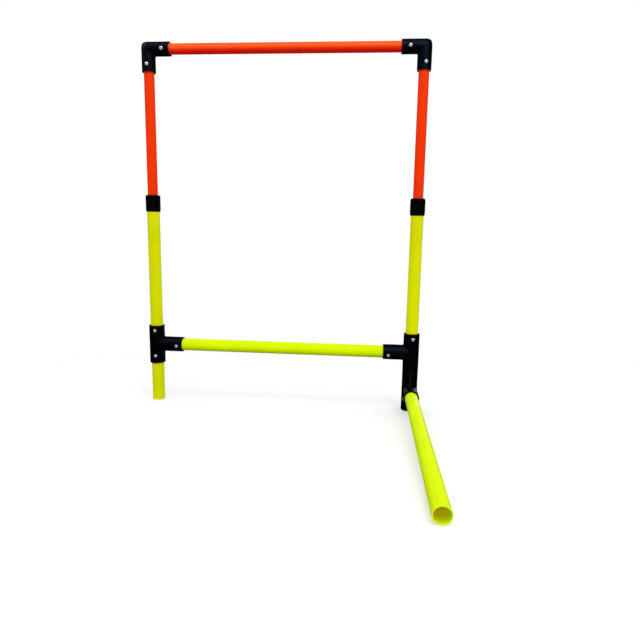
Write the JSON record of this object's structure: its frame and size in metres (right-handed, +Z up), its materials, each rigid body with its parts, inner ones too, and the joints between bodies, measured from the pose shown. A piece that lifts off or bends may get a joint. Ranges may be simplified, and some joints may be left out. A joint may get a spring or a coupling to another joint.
{
  "type": "speed hurdle",
  "caption": "Folding-leg speed hurdle of plastic tube: slim top frame slides in wider posts, twist collars lock its height, a turning foot carries the front leg.",
  "frame": {"origin": "on the floor, in the middle of the box round the standing hurdle", "axes": "+X to the hurdle's right, with the turning foot, +Y to the back, away from the leg, +Z up from the floor; the posts lean about 3.2 degrees to the front, as the hurdle stands on its leg"},
  "size_m": [0.5656, 0.5179, 0.7193],
  "materials": {
    "yellow_tube": "extruded fluorescent yellow tube, soft gloss",
    "orange_tube": "extruded fluorescent orange tube, soft gloss",
    "black_fitting": "moulded black fitting, satin",
    "black_collar": "moulded black collar, satin",
    "grey_nylon": "natural grey nylon, hidden inside",
    "rivet_aluminium": "bright blind rivet",
    "rivet_stem_steel": "broken rivet stem, dark steel"
  },
  "bodies": {
    "lower_frame": {"left_lower_post": "yellow_tube", "right_lower_post": "yellow_tube", "lower_crossbar": "yellow_tube", "left_lower_tee": "black_fitting", "right_lower_tee": "black_fitting", "left_foot_stub": "yellow_tube", "swivel_nipple": "yellow_tube", "left_lock_ferrule": "grey_nylon", "right_lock_ferrule": "grey_nylon", "left_tee_post_rivet": "rivet_aluminium", "left_tee_post_mandrel": "rivet_stem_steel", "left_tee_bar_rivet": "rivet_aluminium", "left_tee_bar_mandrel": "rivet_stem_steel", "left_tee_stub_rivet": "rivet_aluminium", "left_tee_stub_mandrel": "rivet_stem_steel", "right_tee_post_rivet": "rivet_aluminium", "right_tee_post_mandrel": "rivet_stem_steel", "right_tee_bar_rivet": "rivet_aluminium", "right_tee_bar_mandrel": "rivet_stem_steel"},
    "upper_frame": {"left_upper_post": "orange_tube", "right_upper_post": "orange_tube", "top_bar": "orange_tube", "left_top_elbow": "black_fitting", "right_top_elbow": "black_fitting", "left_guide_bush": "grey_nylon", "right_guide_bush": "grey_nylon", "left_elbow_bar_rivet": "rivet_aluminium", "left_elbow_bar_mandrel": "rivet_stem_steel", "left_elbow_post_rivet": "rivet_aluminium", "left_elbow_post_mandrel": "rivet_stem_steel", "right_elbow_bar_rivet": "rivet_aluminium", "right_elbow_bar_mandrel": "rivet_stem_steel", "right_elbow_post_rivet": "rivet_aluminium", "right_elbow_post_mandrel": "rivet_stem_steel"},
    "left_collar": {"left_lock_collar": "black_collar"},
    "right_collar": {"right_lock_collar": "black_collar"},
    "swivel_foot": {"foot_tee": "black_fitting", "leg_tube": "yellow_tube", "leg_rivet": "rivet_aluminium", "leg_mandrel": "rivet_stem_steel"}
  },
  "joints": [
    {"name": "height_slide", "type": "slide", "parent": "lower_frame", "child": "upper_frame", "axis": [0, -0.0566, 0.9984], "range_m": [-0.202, 0.0375]},
    {"name": "left_collar_twist", "type": "hinge", "parent": "lower_frame", "child": "left_collar", "pos_m": [-0.267, 0.22072, 0.39501], "axis": [0, -0.0566, 0.9984], "range_deg": [0, 90]},
    {"name": "right_collar_twist", "type": "hinge", "parent": "lower_frame", "child": "right_collar", "pos_m": [0.267, 0.22072, 0.39501], "axis": [0, -0.0566, 0.9984], "range_deg": [0, 90]},
    {"name": "foot_swivel", "type": "hinge", "parent": "lower_frame", "child": "swivel_foot", "pos_m": [0.267, 0.24081, 0.04077], "axis": [0, -0.0566, 0.9984], "continuous": true}
  ]
}
